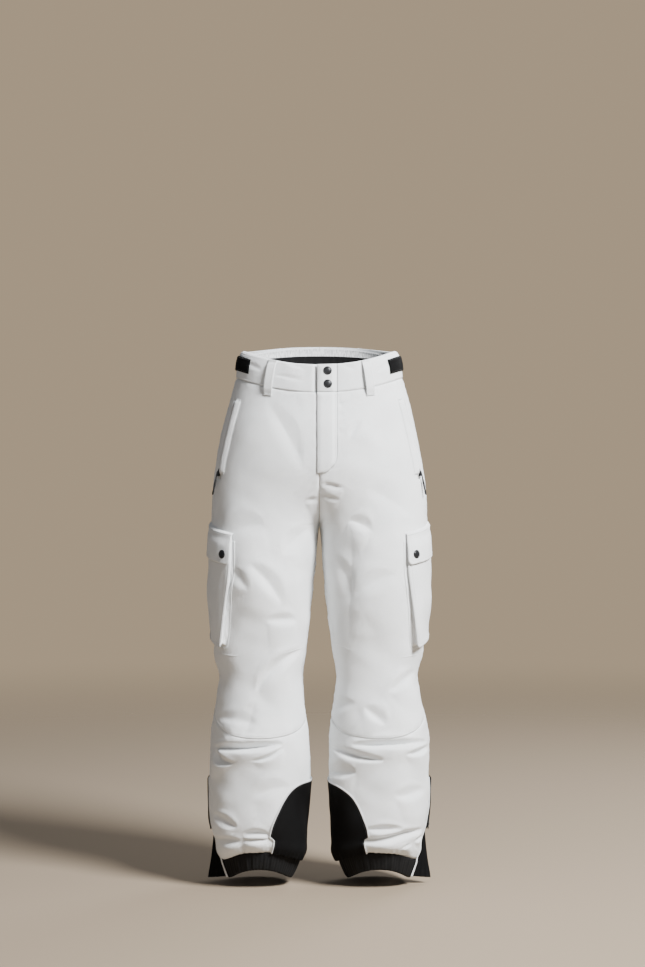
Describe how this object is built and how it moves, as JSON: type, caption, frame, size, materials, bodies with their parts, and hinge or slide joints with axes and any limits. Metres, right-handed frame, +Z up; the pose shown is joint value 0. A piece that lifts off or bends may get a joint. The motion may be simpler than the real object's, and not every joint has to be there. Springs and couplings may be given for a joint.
{
  "type": "ski pants",
  "caption": "White insulated ski pants with black ankle guards, hem bands and waist tabs, cargo pockets, zipped hand pockets, snap waist, zip fly and belt loops.",
  "frame": {"origin": "middle of the waist opening, 1.015 m above the lowest hem", "axes": "+Z up, +X to the wearer's left, -Y to the front"},
  "size_m": [0.4496, 0.2703, 1.065],
  "materials": {
    "shell_white": "matte",
    "fleece": "matte",
    "liner": "matte",
    "guard_black": "matte",
    "elastic_black": "matte",
    "zip_black": "satin",
    "zip_white": "satin",
    "snap_metal": "satin"
  },
  "bodies": {
    "pants": {"front_panel_left": "shell_white", "back_panel_left": "shell_white", "back_yoke_left": "shell_white", "shin_panel_left": "shell_white", "calf_panel_left": "shell_white", "ankle_guard_left": "guard_black", "hem_band_left": "elastic_black", "snow_gaiter_left": "liner", "hem_gusset_left": "guard_black", "hem_left_zip": "zip_black", "cargo_pouch_left": "shell_white", "cargo_snap_stud_left": "snap_metal", "hand_pocket_welt_left": "shell_white", "hand_pocket_bag_left": "liner", "hand_pocket_left_zip": "zip_white", "belt_loop_front_left": "shell_white", "belt_loop_back_left": "shell_white", "front_panel_right": "shell_white", "back_panel_right": "shell_white", "back_yoke_right": "shell_white", "shin_panel_right": "shell_white", "calf_panel_right": "shell_white", "ankle_guard_right": "guard_black", "hem_band_right": "elastic_black", "snow_gaiter_right": "liner", "hem_gusset_right": "guard_black", "hem_right_zip": "zip_black", "cargo_pouch_right": "shell_white", "cargo_snap_stud_right": "snap_metal", "hand_pocket_welt_right": "shell_white", "hand_pocket_bag_right": "liner", "hand_pocket_right_zip": "zip_white", "belt_loop_front_right": "shell_white", "belt_loop_back_right": "shell_white", "waistband_left": "shell_white", "waistband_right": "shell_white", "waist_lining": "fleece", "waist_gripper": "elastic_black", "waist_snap_studs": "snap_metal", "fly_zip": "zip_black", "fly_shield": "liner"},
    "hem_left_slider_body": {"hem_left_slider": "snap_metal"},
    "hem_left_pull_body": {"hem_left_pull": "zip_black"},
    "cargo_flap_body_left": {"cargo_flap_left": "shell_white", "cargo_snap_cap_left": "snap_metal"},
    "hand_pocket_left_slider_body": {"hand_pocket_left_slider": "snap_metal"},
    "hand_pocket_left_pull_body": {"hand_pocket_left_pull": "zip_black"},
    "adjuster_tab_body_left": {"adjuster_tab_left": "guard_black"},
    "hem_right_slider_body": {"hem_right_slider": "snap_metal"},
    "hem_right_pull_body": {"hem_right_pull": "zip_black"},
    "cargo_flap_body_right": {"cargo_flap_right": "shell_white", "cargo_snap_cap_right": "snap_metal"},
    "hand_pocket_right_slider_body": {"hand_pocket_right_slider": "snap_metal"},
    "hand_pocket_right_pull_body": {"hand_pocket_right_pull": "zip_black"},
    "adjuster_tab_body_right": {"adjuster_tab_right": "guard_black"},
    "fly_front_body": {"fly_flap": "shell_white", "waist_tab": "shell_white", "waist_snap_cap_lower": "snap_metal", "waist_snap_cap_upper": "snap_metal"},
    "fly_slider_body": {"fly_slider": "snap_metal"}
  },
  "joints": [
    {"name": "hem_left_slider_slide", "type": "slide", "parent": "pants", "child": "hem_left_slider_body", "axis": [0.0743, -0.0518, 0.9959], "range_m": [0, 0.072]},
    {"name": "hem_left_pull_swing", "type": "hinge", "parent": "hem_left_slider_body", "child": "hem_left_pull_body", "pos_m": [0.21686, 0.00476, -0.90152], "axis": [-0.0032, -0.9987, -0.0517], "range_deg": [0, 150]},
    {"name": "cargo_flap_turn_left", "type": "hinge", "parent": "pants", "child": "cargo_flap_body_left", "pos_m": [0.21843, -0.01992, -0.32118], "axis": [0, -0.9917, -0.1289], "range_deg": [0, 150]},
    {"name": "hand_pocket_left_slider_slide", "type": "slide", "parent": "pants", "child": "hand_pocket_left_slider_body", "axis": [-0.1986, 0.007, 0.9801], "range_m": [0, 0.132]},
    {"name": "hand_pocket_left_pull_swing", "type": "hinge", "parent": "hand_pocket_left_slider_body", "child": "hand_pocket_left_pull_body", "pos_m": [0.19979, -0.05196, -0.21408], "axis": [-0.4366, -0.8959, -0.082], "range_deg": [0, 150]},
    {"name": "adjuster_tab_peel_left", "type": "hinge", "parent": "pants", "child": "adjuster_tab_body_left", "pos_m": [0.16231, 0.02756, 0.00297], "axis": [0, 0, 1], "range_deg": [0, 110]},
    {"name": "hem_right_slider_slide", "type": "slide", "parent": "pants", "child": "hem_right_slider_body", "axis": [-0.0743, -0.0518, 0.9959], "range_m": [0, 0.072]},
    {"name": "hem_right_pull_swing", "type": "hinge", "parent": "hem_right_slider_body", "child": "hem_right_pull_body", "pos_m": [-0.21686, 0.00476, -0.90152], "axis": [-0.0032, 0.9987, 0.0517], "range_deg": [0, 150]},
    {"name": "cargo_flap_turn_right", "type": "hinge", "parent": "pants", "child": "cargo_flap_body_right", "pos_m": [-0.21843, -0.01992, -0.32118], "axis": [0, 0.9917, 0.1289], "range_deg": [0, 150]},
    {"name": "hand_pocket_right_slider_slide", "type": "slide", "parent": "pants", "child": "hand_pocket_right_slider_body", "axis": [0.1986, 0.007, 0.9801], "range_m": [0, 0.132]},
    {"name": "hand_pocket_right_pull_swing", "type": "hinge", "parent": "hand_pocket_right_slider_body", "child": "hand_pocket_right_pull_body", "pos_m": [-0.19979, -0.05196, -0.21408], "axis": [-0.4366, 0.8959, 0.082], "range_deg": [0, 150]},
    {"name": "adjuster_tab_peel_right", "type": "hinge", "parent": "pants", "child": "adjuster_tab_body_right", "pos_m": [-0.16231, 0.02756, 0.00297], "axis": [0, 0, -1], "range_deg": [0, 110]},
    {"name": "fly_front_turn", "type": "hinge", "parent": "pants", "child": "fly_front_body", "pos_m": [0.03448, -0.13557, -0.17874], "axis": [0.0014, 0.1182, 0.993], "range_deg": [0, 100]},
    {"name": "fly_slider_slide", "type": "slide", "parent": "pants", "child": "fly_slider_body", "axis": [-0.0193, 0.1111, 0.9936], "range_m": [-0.112, 0]}
  ]
}
